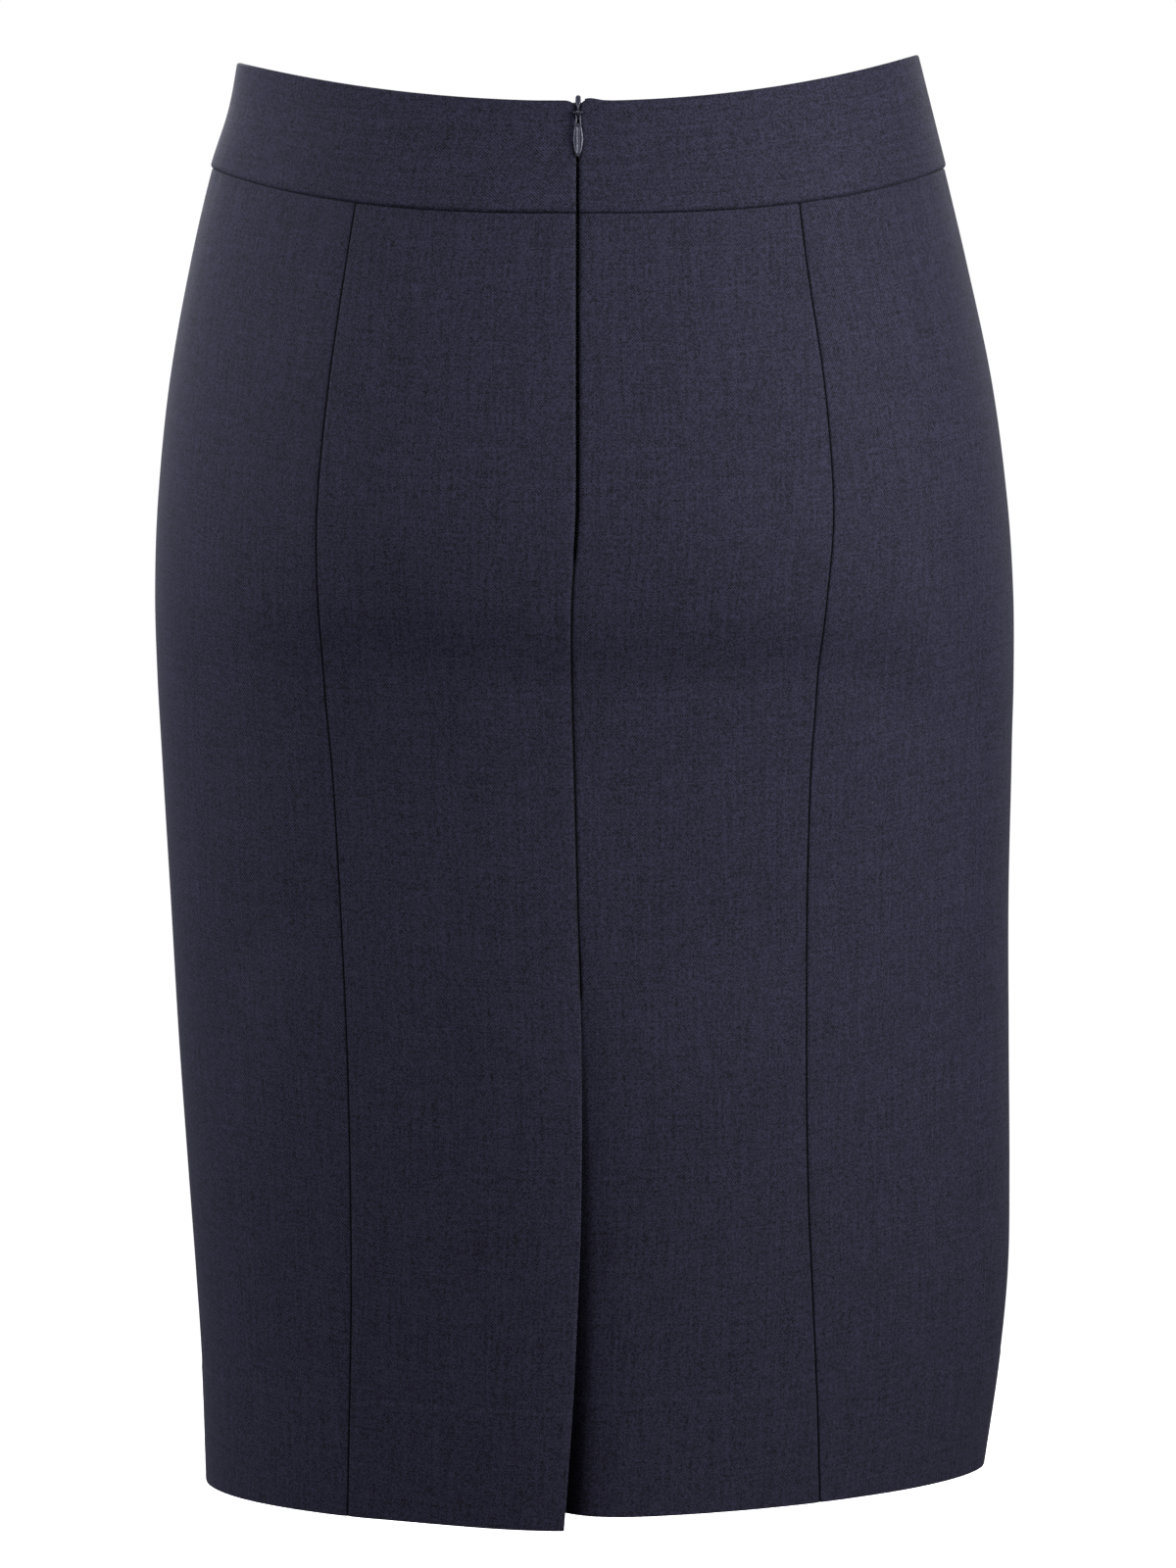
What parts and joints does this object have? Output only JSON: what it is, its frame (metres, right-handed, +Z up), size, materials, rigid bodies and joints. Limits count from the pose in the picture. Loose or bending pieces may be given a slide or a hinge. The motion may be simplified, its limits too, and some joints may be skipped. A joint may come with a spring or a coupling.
{
  "type": "pencil skirt",
  "caption": "Knee-length pencil skirt with a contour waistband, shaped back seams, a concealed centre back zip and a lapped back vent, filled out as when worn.",
  "frame": {"origin": "on the axis of the waist opening, level with the waistline seam at the sides, where the wearer holds the skirt up", "axes": "+Z up towards the waist, +Y out of the back, +X towards the wearer's left"},
  "size_m": [0.3649, 0.2497, 0.6106],
  "materials": {
    "suiting": "fine navy twill suiting",
    "zip_tape": "plain woven tape",
    "zip_coil": "dark nylon",
    "zip_lacquer": "glossy dark lacquer"
  },
  "bodies": {
    "skirt": {"front_panel": "suiting", "back_side_left": "suiting", "back_side_right": "suiting", "back_centre_left": "suiting", "back_centre_right": "suiting", "waistband_front": "suiting", "waistband_back_left": "suiting", "waistband_back_right": "suiting", "zip_tape_left": "zip_tape", "zip_tape_right": "zip_tape", "zip_chain": "zip_coil", "zip_slider": "zip_lacquer"},
    "pull_tab": {"zip_pull": "zip_lacquer"}
  },
  "joints": [
    {"name": "pull_tab_hinge", "type": "hinge", "parent": "skirt", "child": "pull_tab", "pos_m": [-0.00055, 0.10494, 0.02244], "axis": [1, 0, 0], "range_deg": [0, 165]}
  ]
}
